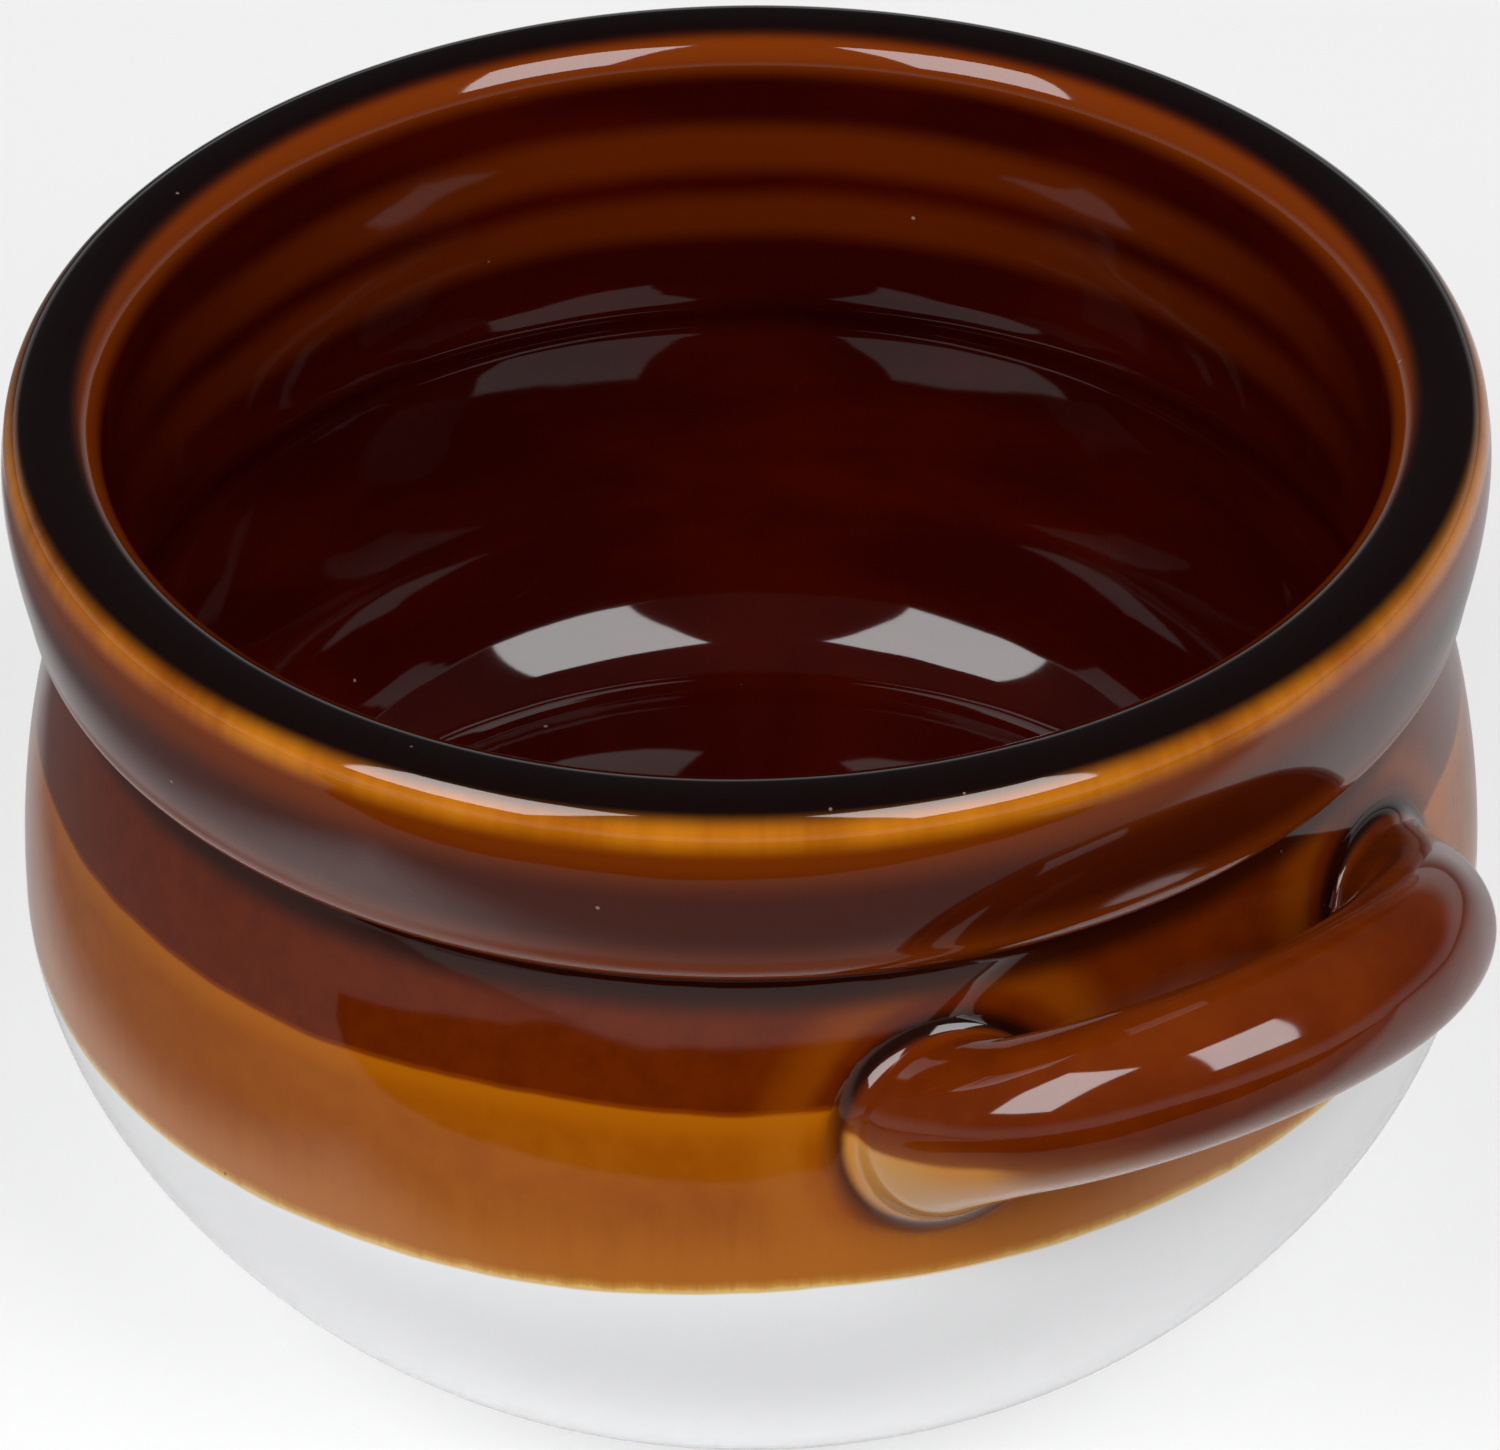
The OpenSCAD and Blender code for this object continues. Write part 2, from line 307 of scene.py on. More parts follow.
coat_tree = turned_coat_tree()
rows_per_mm, fewest_rows, facets_around = 1.6, 8, 256
sharp_deg = 50
dip_turn = math.radians(54)
amber_low_z, brown_low_z = 34.4, 50.1
foot_border = {"at": 0.0, "tilt": 0.0, "ripple": 0.0}
amber_border = {"at": share_at(amber_low_z), "tilt": 2.2 * MM, "ripple": 1.6 * MM}
brown_border = {"at": share_at(brown_low_z), "tilt": 0.6 * MM, "ripple": 2.4 * MM}
crest_border = {"at": share_at(height), "tilt": 0.0, "ripple": 0.0}
floor_border = {"at": 1.0, "tilt": 0.0, "ripple": 0.0}
outline_mm = sum(math.dist(a, b) for a, b in zip(outline, outline[1:]))


def turn_coat(name, start, end, seed, glaze, rings=0.05 * MM, ring_pitch=4 * MM, finer=1.0):
    """One coat between two borders, as a plain closed mesh that stands for its CAD node."""
    mesh = bpy.data.meshes.new(name)
    mesh.from_pydata([(x * MM, 0, z * MM) for x, z in outline],
                     [(i, i + 1) for i in range(len(outline) - 1)], [])
    carrier = bpy.data.objects.new(name, mesh)
    bpy.context.scene.collection.objects.link(carrier)
    modifier = carrier.modifiers.new("turned coat", "NODES")
    modifier.node_group = coat_tree
    rows = max(fewest_rows, round((end["at"] - start["at"]) * outline_mm * rows_per_mm * finer))
    given = {"Start": start["at"], "Start tilt": start["tilt"], "Start ripple": start["ripple"],
             "End": end["at"], "End tilt": end["tilt"], "End ripple": end["ripple"],
             "Dip turn": dip_turn, "Coat": coat * MM, "Throwing rings": rings, "Ring pitch": ring_pitch,
             "Around": facets_around, "Rows": rows, "Seed": seed, "Glaze": glaze}
    for item in coat_tree.interface.items_tree:
        if item.in_out == "INPUT" and item.name in given:
            modifier[item.identifier] = given[item.name]
    bpy.context.view_layer.update()
    seen = carrier.evaluated_get(bpy.context.evaluated_depsgraph_get())
    plain = bpy.data.meshes.new_from_object(seen)
    carrier.modifiers.clear()
    carrier.data = plain
    plain.name = name
    plain.set_sharp_from_angle(angle=math.radians(sharp_deg))
    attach(carrier, "root")
    return carrier


def ring_glow(tree, place, r, z, half_width, soft):
    """1 near a circle round the axis, where glaze runs thin over an edge, falling to 0."""
    part = node(tree, "ShaderNodeSeparateXYZ", {0: place}).outputs
    radius = calc(tree, "SQRT", calc(tree, "ADD", calc(tree, "POWER", part[0], 2.0),
                                     calc(tree, "POWER", part[1], 2.0)))
    across = calc(tree, "SUBTRACT", radius, r * MM)
    up = calc(tree, "SUBTRACT", part[2], z * MM)
    apart = calc(tree, "SQRT", calc(tree, "ADD", calc(tree, "POWER", across, 2.0),
                                    calc(tree, "POWER", up, 2.0)))
    return ramp(tree, apart, (half_width + soft) * MM, half_width * MM)


def round_wall(tree, place, turns_scale, up_scale):
    """Coordinates that follow the wall, for streaks that run down it without a seam."""
    part = node(tree, "ShaderNodeSeparateXYZ", {0: place}).outputs
    flat = node(tree, "ShaderNodeCombineXYZ", {0: part[0], 1: part[1]}).outputs[0]
    unit = node(tree, "ShaderNodeVectorMath", {0: flat}, operation="NORMALIZE").outputs[0]
    scaled = node(tree, "ShaderNodeVectorMath", {0: unit}, operation="SCALE")
    scaled.inputs["Scale"].default_value = turns_scale
    side = node(tree, "ShaderNodeSeparateXYZ", {0: scaled.outputs[0]}).outputs
    up = calc(tree, "MULTIPLY", part[2], up_scale)
    return node(tree, "ShaderNodeCombineXYZ", {0: side[0], 1: side[1], 2: up}).outputs[0]


def finish_glaze(tree, shader, place, colour, gloss=0.06, specks=0.0, speck_colour=(0.3, 0.2, 0.17),
                 wave=0.08 * MM):
    """Glass skin over a colour: slow waves, faint orange peel, and pinholes that the kiln left."""
    peel_per_m, pinholes_per_m, waves_per_m, glass_ior = 420, 210.0, 100, 1.52
    peel = noise(tree, place, peel_per_m, 2)
    dots = node(tree, "ShaderNodeTexVoronoi", {"Vector": place, "Scale": pinholes_per_m, "Randomness": 1.0})
    pin = ramp(tree, dots.outputs["Distance"], 0.045, 0.02)
    chosen = calc(tree, "GREATER_THAN", node(tree, "ShaderNodeSeparateColor",
                                             {0: dots.outputs["Color"]}).outputs[0], 1.0 - specks)
    pin = calc(tree, "MULTIPLY", pin, chosen)
    tree.links.new(blend_colour(tree, pin, colour, speck_colour), shader.inputs["Base Color"])
    shader.inputs["Roughness"].default_value = gloss
    shader.inputs["IOR"].default_value = glass_ior
    slow = node(tree, "ShaderNodeBump", {"Height": noise(tree, place, waves_per_m, 1), "Distance": wave})
    relief = calc(tree, "SUBTRACT", calc(tree, "MULTIPLY", peel, 0.12), pin)
    bump = node(tree, "ShaderNodeBump", {"Height": relief, "Strength": 0.25, "Distance": 0.06 * MM,
                                         "Normal": slow.outputs[0]})
    tree.links.new(bump.outputs[0], shader.inputs["Normal"])


white, white_shade = (0.93, 0.935, 0.94), (0.90, 0.905, 0.915)
fringe_gold, fringe_cream = (0.56, 0.25, 0.035), (0.76, 0.50, 0.16)


def white_glaze():
    material, tree, shader = new_material("white_glaze")
    place = place_of(tree)
    cloud = noise(tree, place, 60, 3)
    body = blend_colour(tree, cloud, white, white_shade)
    up = node(tree, "ShaderNodeAttribute", attribute_name="from_end").outputs["Fac"]
    bleed = ramp(tree, up, 0.3 * MM, 0.0)
    colour = blend_colour(tree, bleed, body, fringe_cream)
    finish_glaze(tree, shader, place, colour, gloss=0.09, specks=0.05, speck_colour=(0.5, 0.46, 0.42))
    return material


base_coat = turn_coat("white_base_coat", foot_border, amber_border, seed=3, glaze=white_glaze(), finer=0.8)
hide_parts("base_glaze")


# The amber band: the brown dip run thin over the white, between the two borders. It is mottled and
# lightest where it thins out at its wandering lower edge, and it pools dark round the handle's roots,
# where painted shade darkens the crease further.
amber_thick, amber_thin = (0.325, 0.077, 0.0012), (0.43, 0.125, 0.006)
amber_light, amber_cloud, amber_top = (0.365, 0.093, 0.0026), (0.290, 0.063, 0.0012), (0.41, 0.112, 0.0016)
border_brown = (0.20, 0.034, 0.0006)
pool_shade_brown, pool_shade_black = (0.060, 0.0130, 0.0040), (0.008, 0.0016, 0.0006)

# The handle, as far as the wall's glaze has to know it: where its roots are and how it leans up
half_span, root_z, rise, reach = 20.8, 47.6, 8.4, 66.7


def outside_radius(z):
    """The glazed wall's radius at a height between the foot and the groove."""
    for (r0, z0), (r1, z1) in zip(outside_line, outside_line[1:]):
        if z0 <= z <= z1 and z1 > z0:
            return between(r0, r1, (z - z0) / (z1 - z0))
    return groove_r if z > groove_z else foot_r


root_x = math.sqrt((outside_radius(root_z) - coat) ** 2 - half_span ** 2)
root_tilt = math.atan2(rise, reach - root_x)


def from_root(tree, place):
    """Distance from the middle line of the nearer root, in metres, and 1 on the handle's side."""
    part = node(tree, "ShaderNodeSeparateXYZ", {0: place}).outputs
    aside = calc(tree, "SUBTRACT", calc(tree, "ABSOLUTE", part[1]), half_span * MM)
    out = calc(tree, "SUBTRACT", part[0], root_x * MM)
    up = calc(tree, "SUBTRACT", part[2], root_z * MM)
    along = calc(tree, "ADD", calc(tree, "MULTIPLY", out, math.cos(root_tilt)),
                 calc(tree, "MULTIPLY", up, math.sin(root_tilt)))
    squares = calc(tree, "ADD", calc(tree, "MULTIPLY", aside, aside),
                   calc(tree, "ADD", calc(tree, "MULTIPLY", out, out), calc(tree, "MULTIPLY", up, up)))
    apart = calc(tree, "SQRT", calc(tree, "MAXIMUM",
                                    calc(tree, "SUBTRACT", squares, calc(tree, "MULTIPLY", along, along)),
                                    0.0))
    return apart, calc(tree, "GREATER_THAN", part[0], 0.0)


def pool_and_shade_round_roots(tree, place, body, halo):
    """Glaze gathers in the crease round each root, with a thin paler ring outside it.
    The crease's dark is partly that pooled glaze and partly painted shade.
    """
    apart, near_side = from_root(tree, place)
    wander = calc(tree, "MULTIPLY", calc(tree, "SUBTRACT", noise(tree, place, 120, 2), 0.5), 1.6 * MM)
    apart = calc(tree, "ADD", apart, wander)
    ring = calc(tree, "MULTIPLY", ramp(tree, apart, 9.2 * MM, 10.8 * MM),
                ramp(tree, apart, 14.5 * MM, 11.2 * MM))
    ring = calc(tree, "MULTIPLY", calc(tree, "MULTIPLY", ring, near_side), 0.55)
    body = blend_colour(tree, ring, body, halo)
    up = node(tree, "ShaderNodeSeparateXYZ", {0: place}).outputs[2]
    # Painted shade: the crease round the root is darkened, partly as pooled glaze, more so higher up
    depth = ramp(tree, up, 45 * MM, 54 * MM, 0.6, 0.95)
    pool_shade = calc(tree, "MULTIPLY", ramp(tree, apart, 9.3 * MM, 7.9 * MM), near_side)
    dark = blend_colour(tree, ramp(tree, up, 47 * MM, 53 * MM), pool_shade_brown, pool_shade_black)
    return blend_colour(tree, calc(tree, "MULTIPLY", pool_shade, depth), body, dark)


def amber_glaze():
    material, tree, shader = new_material("amber_glaze")
    place = place_of(tree)
    down = node(tree, "ShaderNodeAttribute", attribute_name="from_start").outputs["Fac"]
    up = node(tree, "ShaderNodeAttribute", attribute_name="from_end").outputs["Fac"]
    streak = noise(tree, round_wall(tree, place, 46, 45), 1.0, 6, 0.7)
    cloud = noise(tree, place, 38, 3)
    mottle = noise(tree, place, 420, 3, 0.6)
    body = blend_colour(tree, ramp(tree, mottle, 0.3, 0.7), amber_thick, amber_light)
    body = blend_colour(tree, ramp(tree, cloud, 0.35, 0.7, 0.0, 0.5), body, amber_cloud)
    body = blend_colour(tree, ramp(tree, up, 3.2 * MM, 0.3 * MM), body, amber_top)
    off_middle = calc(tree, "SUBTRACT", streak, 0.5)
    lower = calc(tree, "ADD", down, calc(tree, "MULTIPLY", off_middle, 5 * MM))
    body = blend_colour(tree, ramp(tree, lower, 8 * MM, 1.2 * MM), body, amber_thin)
    edge = calc(tree, "ADD", down, calc(tree, "MULTIPLY", off_middle, 0.9 * MM))
    body = blend_colour(tree, ramp(tree, edge, 1.1 * MM, 0.3 * MM), body, fringe_gold)
    body = blend_colour(tree, ramp(tree, edge, 0.5 * MM, 0.0), body, fringe_cream)
    body = blend_colour(tree, ramp(tree, up, 0.35 * MM, 0.0), body, border_brown)
    body = pool_and_shade_round_roots(tree, place, body, amber_thin)
    finish_glaze(tree, shader, place, body, gloss=0.07, specks=0.12, speck_colour=(0.2, 0.07, 0.02))
    return material


amber_coat = turn_coat("amber_band_coat", amber_border, brown_border, seed=4, glaze=amber_glaze(), finer=1.4)
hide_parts("amber_glaze")


# The brown coat: the upper crock was dipped again, over the shoulder, the groove and the collar up
# to the rim's crest. It breaks to amber on the edges and pools almost black in the groove, where
# painted shade darkens it further.
edge_amber, edge_brown = (0.58, 0.185, 0.006), (0.30, 0.062, 0.0012)
brown_dark, brown_light = (0.108, 0.0125, 0.0002), (0.130, 0.0165, 0.0003)
root_halo, face_brown, low_edge_brown = (0.27, 0.058, 0.0008), (0.066, 0.0072, 0.0008), (0.190, 0.030, 0.0014)
groove_pool_shade_black, tail_brown = (0.020, 0.0028, 0.0010), (0.20, 0.034, 0.0012)
crest_black = (0.0048, 0.0009, 0.0008)


def brown_glaze():
    material, tree, shader = new_material("brown_glaze")
    place = place_of(tree)
    down = node(tree, "ShaderNodeAttribute", attribute_name="from_start").outputs["Fac"]
    part = node(tree, "ShaderNodeSeparateXYZ", {0: place}).outputs
    mottle = noise(tree, place, 380, 4, 0.6)
    body = blend_colour(tree, ramp(tree, mottle, 0.3, 0.7), brown_dark, brown_light)
    body = blend_colour(tree, ramp(tree, down, 0.4 * MM, 0.0), body, border_brown)
    body = pool_and_shade_round_roots(tree, place, body, root_halo)
    face = ramp(tree, part[2], 61.5 * MM, 63.5 * MM)
    body = blend_colour(tree, face, body, face_brown)
    low_edge = ring_glow(tree, place, face_r - 0.5, collar_z - 1.2, 0.6, 3.4)
    body = blend_colour(tree, calc(tree, "MULTIPLY", low_edge, 0.9), body, low_edge_brown)
    # Painted shade: the groove under the collar is darkened, partly as pooled glaze
    pool_shade = ring_glow(tree, place, groove_r + 0.3, 59.0, 0.4, 2.2)
    body = blend_colour(tree, calc(tree, "MULTIPLY", pool_shade, 0.86), body, groove_pool_shade_black)
    # The crest's black lies twice, under the paler tail and over it, and so fades out steeply
    crest = ramp(tree, part[2], height * MM - 2.4 * MM, height * MM - 1.0 * MM)
    body = blend_colour(tree, crest, body, crest_black)
    tail = ring_glow(tree, place, top_r + 0.1, height - 3.4, 0.6, 3.6)
    body = blend_colour(tree, calc(tree, "MULTIPLY", tail, 0.8), body, tail_brown)
    body = blend_colour(tree, crest, body, crest_black)
    edge = ring_glow(tree, place, top_r - 0.45, height - 2.0, 0.2, 1.65)
    thin = noise(tree, round_wall(tree, place, 2.6, 0), 1.0, 5, 0.7)
    wash = blend_colour(tree, ramp(tree, thin, 0.3, 0.62), edge_brown, edge_amber)
    body = blend_colour(tree, edge, body, wash)
    finish_glaze(tree, shader, place, body, gloss=0.05, specks=0.25)
    return material


brown_coat = turn_coat("brown_dip_coat", brown_border, crest_border, seed=5, glaze=brown_glaze(), finer=1.7)
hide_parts("brown_glaze")


# The liner: the same brown poured inside and out again, thick and dark in the bowl. It thins to
# amber on the rim's inner edge. Two faint rings left by fingers are painted lighter, partly as glaze
# thinning over them and partly as a painted reflection, and painted light keeps them to the far side.
liner_dark, liner_light = (0.030, 0.0010, 0.0002), (0.052, 0.0022, 0.0002)
ring_sheen_brown, inner_edge_brown = (0.150, 0.0200, 0.0004), (0.190, 0.030, 0.0006)
sheen_side_deg = 143.3
finger_ring_sheens = ({"z": 67.3, "half": 0.9, "strength": 0.75}, {"z": 60.9, "half": 0.7, "strength": 0.6})


def liner_glaze():
    material, tree, shader = new_material("liner_glaze")
    place = place_of(tree)
    part = node(tree, "ShaderNodeSeparateXYZ", {0: place}).outputs
    streak = noise(tree, round_wall(tree, place, 2.2, 130), 1.0, 3, 0.5)
    body = blend_colour(tree, ramp(tree, streak, 0.35, 0.7), liner_dark, liner_light)
    # Painted light: the rings fade out away from the bowl's far side, which faces the camera
    a = math.radians(sheen_side_deg)
    back = calc(tree, "ADD", calc(tree, "MULTIPLY", part[0], math.cos(a)),
                calc(tree, "MULTIPLY", part[1], math.sin(a)))
    sheen_side = ramp(tree, back, 0.0, 42 * MM)
    for ring_sheen in finger_ring_sheens:
        wander = calc(tree, "MULTIPLY", calc(tree, "SUBTRACT", noise(tree, place, 22, 2), 0.5), 3.4 * MM)
        up = calc(tree, "SUBTRACT", part[2], ring_sheen["z"] * MM)
        off = calc(tree, "ABSOLUTE", calc(tree, "ADD", up, wander))
        ring = ramp(tree, off, (ring_sheen["half"] + 2.5) * MM, ring_sheen["half"] * MM)
        ring = calc(tree, "MULTIPLY", calc(tree, "MULTIPLY", ring, ring_sheen["strength"]), sheen_side)
        body = blend_colour(tree, ring, body, ring_sheen_brown)
    edge = ring_glow(tree, place, mouth_r + 0.85, height - 1.45, 0.35, 2.55)
    body = blend_colour(tree, edge, body, inner_edge_brown)
    crest = ramp(tree, part[2], height * MM - 0.9 * MM, height * MM - 0.15 * MM)
    body = blend_colour(tree, crest, body, crest_black)
    finish_glaze(tree, shader, place, body, gloss=0.05, specks=0.25)
    return material


liner_coat = turn_coat("brown_liner_coat", crest_border, floor_border, seed=6, glaze=liner_glaze(),
                       rings=0.25 * MM, ring_pitch=5 * MM, finer=0.9)
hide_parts("liner_glaze")


# The handle's coat: one rolled bar bent to a bow, luted to the belly at both ends and dipped with
# the crock. The glaze pools black where the bar meets the wall, darkened further by painted shade
# in that crease, and runs to amber under it.
bar_r, bend_r = 5.8, 14.4
root_flare, root_grip = 1.3, 8.5
leg = 8.0
around_bar, bar_step = 72, 0.6
bar_rows, core_rows, core_start = 90, 60, 4
fillet_reach, fillet_rows, fillet_hold = 1.7, 12, 0.62
skirt_reach, skirt_depth = 1.0, 0.3
handle_dark, handle_light = (0.115, 0.0135, 0.0005), (0.165, 0.025, 0.0008)
under_amber, root_amber, root_cream = (0.46, 0.150, 0.024), (0.62, 0.240, 0.034), (0.58, 0.27, 0.06)
shoulder_brown = (0.125, 0.016, 0.0004)


def wall_gap(point):
    return math.hypot(point.x, point.y) - outside_radius(point.z)


def wall_normal(point):
    d = 0.05
    slope = (outside_radius(point.z + d) - outside_radius(point.z - d)) / (2 * d)
    out = Vector((point.x, point.y, 0)).normalized()
    return (out - Vector((0, 0, slope))).normalized()


def on_wall(point):
    for _ in range(6):
        point = point - wall_normal(point) * wall_gap(point)
    return point


def bar_line():
    """Middle line of the bar from one root to the other, with its headings, 8 mm into the wall."""
    depth = math.hypot(reach - root_x, rise)
    bend_x, bend_y = half_span - bend_r, depth - bend_r
    back = (bend_x ** 2 - bend_y ** 2) / (2 * bend_y)
    bow_r, bow_turn = back + depth, math.atan2(bend_x, back)
    lengths = [leg, bend_r * (math.pi / 2 - bow_turn), 2 * bow_r * bow_turn,
               bend_r * (math.pi / 2 - bow_turn), leg]
    count = round(sum(lengths) / bar_step)
    line = []
    for i in range(count + 1):
        s = sum(lengths) * i / count
        if s <= lengths[0]:
            flat, way = (s - leg, half_span), 0.0
        elif s <= sum(lengths[:2]):
            a = (s - lengths[0]) / bend_r
            flat, way = (bend_r * math.sin(a), bend_x + bend_r * math.cos(a)), a
        elif s <= sum(lengths[:3]):
            a = bow_turn - (s - sum(lengths[:2])) / bow_r
            flat, way = (bow_r * math.cos(a) - back, bow_r * math.sin(a)), math.pi / 2 - a
        elif s <= sum(lengths[:4]):
            a = math.pi / 2 - bow_turn - (s - sum(lengths[:3])) / bend_r
            flat, way = (bend_r * math.sin(a), -bend_x - bend_r * math.cos(a)), math.pi - a
        else:
            flat, way = (sum(lengths[:4]) - s, -half_span), math.pi
        line.append((flat, way))
    tilt = Matrix.Translation((root_x, 0, root_z)) @ Matrix.Rotation(-root_tilt, 4, "Y")
    return line, tilt


def root_rings(line, tilt, radius, forwards):
    """For each line along the bar: where it starts, its corner on the wall, its landing and its skirt."""
    last = len(line) - 1
    columns = []
    for k in range(around_bar):
        def spot(step):
            share = step if forwards else last - step
            return bar_ring_point(line, tilt, share, radius, k)
        low, high = 0.0, last / 2
        for _ in range(40):
            mid = (low + high) / 2
            low, high = (low, mid) if wall_gap(spot(mid)) > 0 else (mid, high)
        crossing = spot(high)
        start = high + fillet_reach / bar_step
        normal = wall_normal(crossing)
        share = high if forwards else last - high
        centre = Vector((0, 0, 0))
        for q in range(0, around_bar, around_bar // 4):
            centre += bar_ring_point(line, tilt, share, radius, q) / 4
        out = crossing - centre
        out = (out - normal * out.dot(normal)).normalized()
        landing = on_wall(crossing + out * fillet_reach)
        skirt = on_wall(crossing + out * (fillet_reach + skirt_reach)) - normal * skirt_depth
        columns.append({"start": start, "top": spot(start), "corner": crossing, "landing": landing,
                        "skirt": skirt})
    return columns


def bar_ring_point(line, tilt, share, radius, k):
    """A point round the bar at a fractional step of its middle line; the bar thickens at its roots."""
    share = min(max(share, 0), len(line) - 1.001)
    from_wall = max(min(share, len(line) - 1 - share) * bar_step - leg, 0)
    radius += root_flare * max(1 - from_wall / root_grip, 0) ** 2
    i = int(share)
    t = share - i
    (a, way_a), (b, way_b) = line[i], line[i + 1]
    mid, way = (between(a[0], b[0], t), between(a[1], b[1], t)), between(way_a, way_b, t)
    turn = math.tau * k / around_bar
    side, up = radius * math.cos(turn), radius * math.sin(turn)
    return tilt @ Vector((mid[0] + side * math.sin(way), mid[1] + side * math.cos(way), up))


def handle_coat_mesh():
    line, tilt = bar_line()
    last = len(line) - 1
    near, far = (root_rings(line, tilt, bar_r, forwards) for forwards in (True, False))

    def root(columns, inwards):
        """From the skirt up the fillet to the bar, or the other way round."""
        made = [([c["skirt"] for c in columns], 1.0)]
        for j in range(fillet_rows + 1):
            t = j / fillet_rows
            ring = []
            for c in columns:
                a = between(c["landing"], c["corner"], fillet_hold)
                b = between(c["top"], c["corner"], fillet_hold)
                ring.append(c["landing"] * (1 - t) ** 3 + a * 3 * (1 - t) ** 2 * t
                            + b * 3 * (1 - t) * t * t + c["top"] * t ** 3)
            made.append((ring, 1 - t))
        return made if inwards else made[::-1]

    made = root(near, True)
    first = [c["start"] for c in near]
    final = [last - c["start"] for c in far]
    for j in range(1, bar_rows):
        t = j / bar_rows
        ring = [bar_ring_point(line, tilt, between(first[k], final[k], t), bar_r, k)
                for k in range(around_bar)]
        made.append((ring, 0.0))
    made += root(far, False)
    for j in range(core_rows, -1, -1):
        share = between(core_start, last - core_start, j / core_rows)
        ring = [bar_ring_point(line, tilt, share, bar_r - coat, k) for k in range(around_bar)]
        made.append((ring, 0.0))
    points = [p * MM for ring, _ in made for p in ring]
    faces = []
    for j in range(len(made)):
        u, v = j * around_bar, (j + 1) % len(made) * around_bar
        for k in range(around_bar):
            m = (k + 1) % around_bar
            faces.append((u + k, u + m, v + m, v + k))
    mesh = bpy.data.meshes.new("handle_coat")
    mesh.from_pydata(points, [], faces)
    pooling_and_shade = mesh.attributes.new("pooling_and_shade", "FLOAT", "POINT")
    for j, (ring, amount) in enumerate(made):
        for k in range(around_bar):
            pooling_and_shade.data[j * around_bar + k].value = amount
    mesh.shade_smooth()
    mesh.set_sharp_from_angle(angle=math.radians(sharp_deg))
    return mesh


def handle_glaze():
    material, tree, shader = new_material("handle_glaze")
    place = place_of(tree)
    part = node(tree, "ShaderNodeSeparateXYZ", {0: place}).outputs
    pooled_and_shaded = node(tree, "ShaderNodeAttribute", attribute_name="pooling_and_shade").outputs["Fac"]
    streak = noise(tree, place, 90, 4, 0.6)
    body = blend_colour(tree, ramp(tree, streak, 0.3, 0.7), handle_dark, handle_light)
    wave = calc(tree, "MULTIPLY", calc(tree, "SUBTRACT", noise(tree, place, 60, 2), 0.5), 2.4 * MM)
    out = calc(tree, "MAXIMUM", calc(tree, "SUBTRACT", part[0], root_x * MM), 0.0)
    level = calc(tree, "SUBTRACT", calc(tree, "ADD", part[2], wave), calc(tree, "MULTIPLY", out, 0.22))
    under = ramp(tree, level, 50.5 * MM, 45.0 * MM)
    body = blend_colour(tree, under, body, under_amber)
    below = calc(tree, "MULTIPLY", ramp(tree, level, 48.6 * MM, 47.9 * MM),
                 ramp(tree, out, 12 * MM, 8 * MM))
    body = blend_colour(tree, below, body, root_amber)
    wall = blend_colour(tree, ramp(tree, part[2], 50.4 * MM, 49.9 * MM), shoulder_brown, amber_thick)
    wall = pool_and_shade_round_roots(tree, place, wall, amber_thin)
    apart = from_root(tree, place)[0]
    thin = calc(tree, "MULTIPLY", ramp(tree, apart, 5.0 * MM, 6.6 * MM), ramp(tree, pooled_and_shaded, 0.45, 0.1))
    at_root = calc(tree, "MULTIPLY", ramp(tree, out, 14 * MM, 3 * MM), below)
    body = blend_colour(tree, calc(tree, "MULTIPLY", thin, at_root), body, root_cream)
    # Painted shade: the fillet where the bar meets the wall darkens, partly as pooled glaze
    dark = blend_colour(tree, ramp(tree, part[2], 47 * MM, 53 * MM), pool_shade_brown, pool_shade_black)
    body = blend_colour(tree, ramp(tree, pooled_and_shaded, 0.36, 0.70), body, dark)
    body = blend_colour(tree, ramp(tree, pooled_and_shaded, 0.55, 0.95), body, wall)
    finish_glaze(tree, shader, place, body, gloss=0.06, specks=0.2, wave=0.28 * MM)
    return material


handle_coat = bpy.data.objects.new("handle_coat", handle_coat_mesh())
bpy.context.scene.collection.objects.link(handle_coat)
handle_coat.data.materials.append(handle_glaze())
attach(handle_coat, "root")
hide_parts("handle_glaze")


# The studio: a plain table, pale round the crock and painted grey further ahead and to its left as
# painted shade, two softboxes high on the left and right, and a room that is dark overhead and below.
# The table's front edge lies a hand's breadth ahead of the crock and comes nearest on the left. The
# camera sees the table paler.
def table_material(out, side):
    pale, shade_grey = (0.93, 0.93, 0.935), (0.22, 0.22, 0.225)
    pale_ahead, pale_left, fading, lift = 0.064, 0.078, 0.035, 0.65
    material, tree, shader = new_material("pale_table")
    place = node(tree, "ShaderNodeSeparateXYZ", {0: place_of(tree)}).outputs
    ahead = calc(tree, "ADD", calc(tree, "MULTIPLY", place[0], out.x),
                 calc(tree, "MULTIPLY", place[1], out.y))
    to_left = calc(tree, "SUBTRACT", calc(tree, "MULTIPLY", place[0], -side.x),
                   calc(tree, "MULTIPLY", place[1], side.y))
    beyond = calc(tree, "MAXIMUM", calc(tree, "SUBTRACT", ahead, pale_ahead),
                  calc(tree, "SUBTRACT", to_left, pale_left))
    # Painted shade: the table greys beyond the pale zone round the crock
    colour = blend_colour(tree, ramp(tree, beyond, 0.0, fading), pale, shade_grey)
    tree.links.new(colour, shader.inputs["Base Color"])
    shader.inputs["Roughness"].default_value = 0.7
    seen = calc(tree, "MULTIPLY", node(tree, "ShaderNodeLightPath").outputs["Is Camera Ray"], lift)
    lifted = node(tree, "ShaderNodeMixShader", {0: seen, 1: shader.outputs[0],
                                                2: node(tree, "ShaderNodeEmission").outputs[0]})
    tree.links.new(lifted.outputs[0], tree.nodes["Material Output"].inputs["Surface"])
    return material


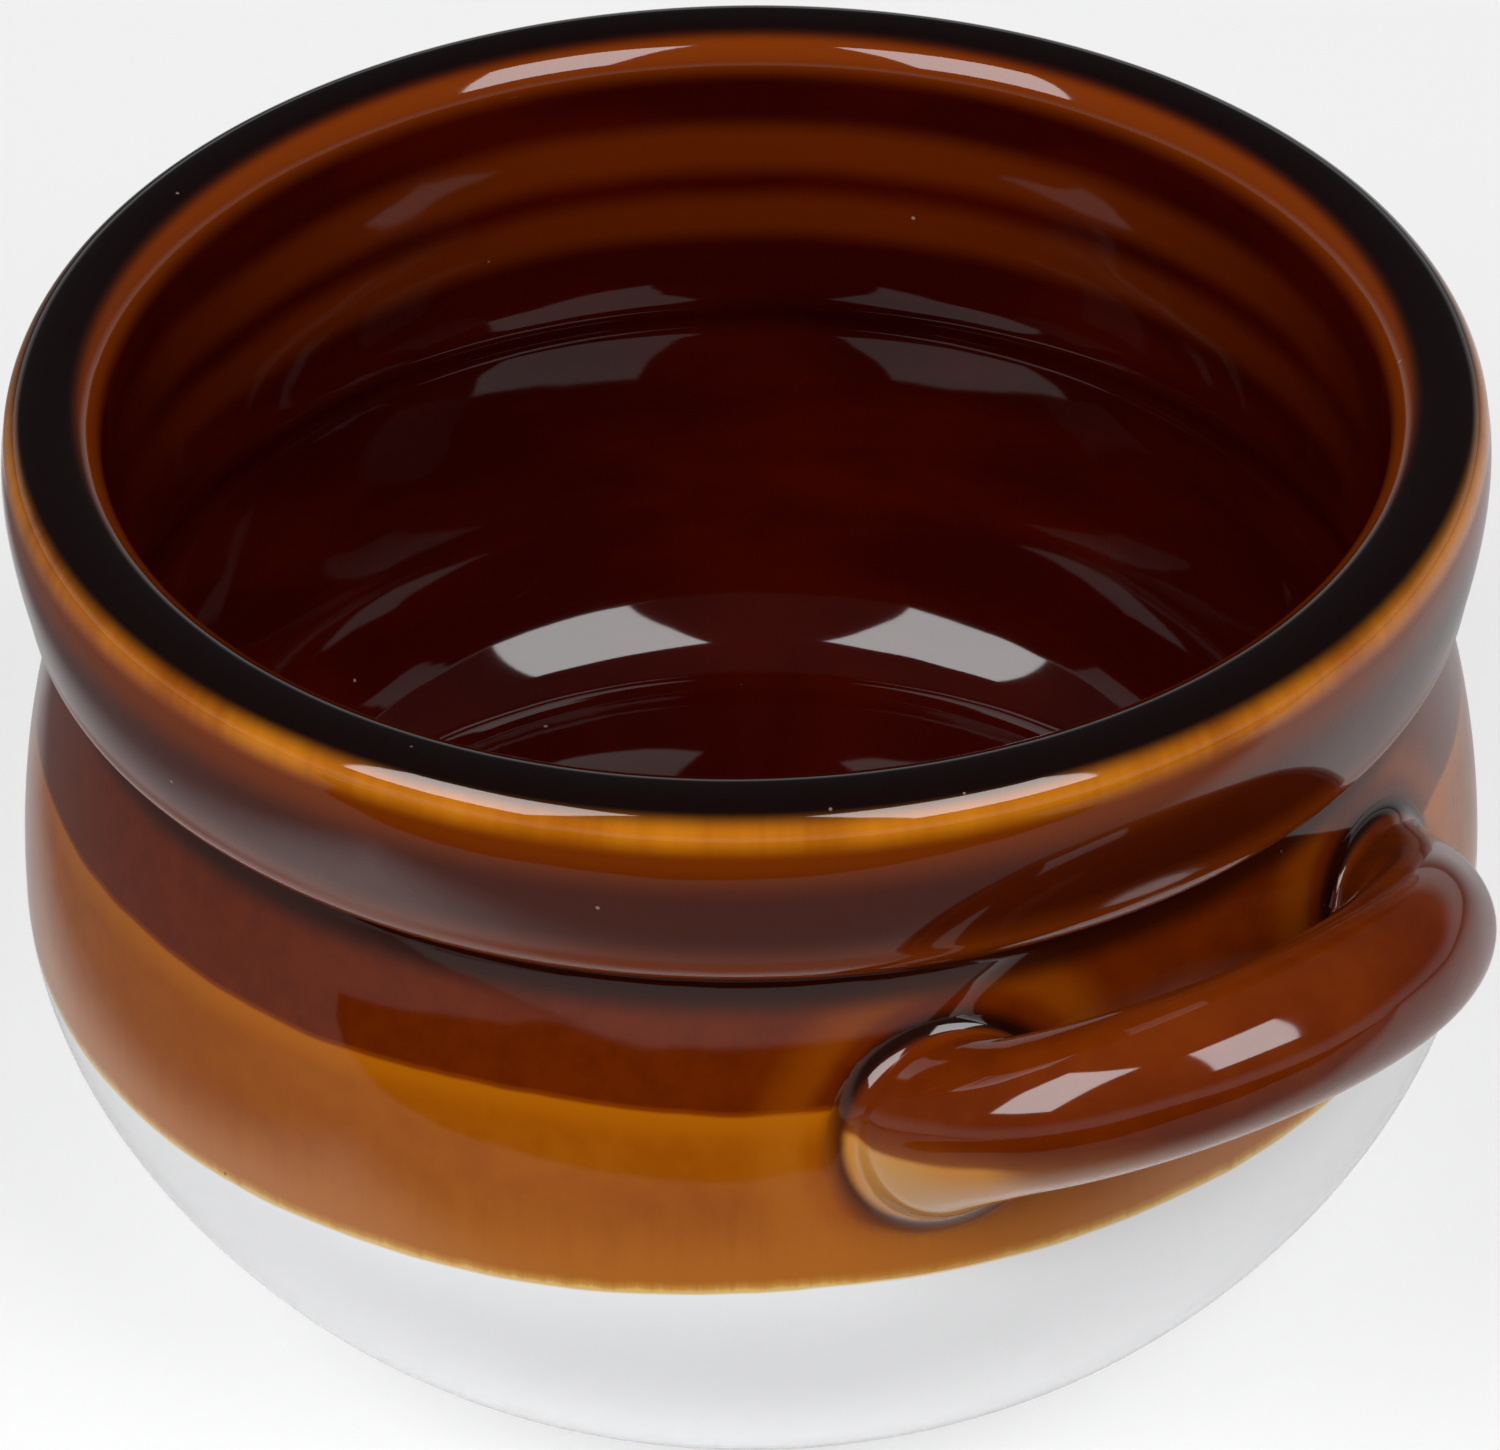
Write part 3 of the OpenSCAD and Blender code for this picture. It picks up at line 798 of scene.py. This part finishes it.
def set_table():
    """A flat sheet; its corners are metres ahead of the crock and metres to its right."""
    far = 6.0
    front = ((0.9, -0.42), (0.38, -0.363), (0.176, -0.293), (0.137, -0.217), (0.123, -0.174),
             (0.123, -0.13), (0.13, -0.107), (0.151, -0.071), (0.163, -0.019), (0.169, 0.023),
             (0.18, 0.09), (0.2, 0.3), (0.2, far))
    a = math.radians(view_from_deg)
    out, side = Vector((math.cos(a), math.sin(a), 0)), Vector((-math.sin(a), math.cos(a), 0))
    corners = ((-far, -far), (front[0][0], -far), *front, (-far, far))
    mesh = bpy.data.meshes.new("table")
    mesh.from_pydata([tuple(out * x + side * y) for x, y in corners], [],
                     [tuple(range(len(corners)))])
    table = bpy.data.objects.new("table", mesh)
    bpy.context.scene.collection.objects.link(table)
    mesh.materials.append(table_material(out, side))


lamp_away, lamp_high, aim_height = 1.2, 0.75, 0.05


def softbox(name, around_deg, up_deg, wide, watts):
    data = bpy.data.lights.new(name, "AREA")
    data.shape, data.size, data.size_y = "RECTANGLE", wide, lamp_high
    data.energy = watts
    lamp = bpy.data.objects.new(name, data)
    a, e = math.radians(around_deg), math.radians(up_deg)
    towards = Vector((math.cos(a) * math.cos(e), math.sin(a) * math.cos(e), math.sin(e)))
    lamp.location = Vector((0, 0, aim_height)) + towards * lamp_away
    lamp.rotation_euler = towards.to_track_quat("Z", "Y").to_euler()
    bpy.context.scene.collection.objects.link(lamp)


def surround():
    """Pale near the horizon, dark overhead and dark below the table's edge."""
    room_colour, level_glow, overhead_glow = (0.93, 0.94, 0.96, 1), 0.5, 0.06
    world = bpy.data.worlds.new("surround")
    world.use_nodes = True
    bpy.context.scene.world = world
    tree = world.node_tree
    back = tree.nodes["Background"]
    back.inputs["Color"].default_value = room_colour
    up = node(tree, "ShaderNodeSeparateXYZ", {0: node(tree, "ShaderNodeTexCoord").outputs["Generated"]})
    above = ramp(tree, up.outputs[2], 0.05, 0.24, level_glow, overhead_glow)
    risen = ramp(tree, up.outputs[2], -0.075, -0.06)
    tree.links.new(calc(tree, "MULTIPLY", above, risen), back.inputs["Strength"])


set_table()
softbox("softbox_left", around_deg=view_from_deg - 46, up_deg=43, wide=0.58, watts=9.6)
softbox("softbox_right", around_deg=view_from_deg + 37, up_deg=45.5, wide=0.55, watts=9.1)
surround()
bpy.context.scene.view_settings.view_transform = "Standard"
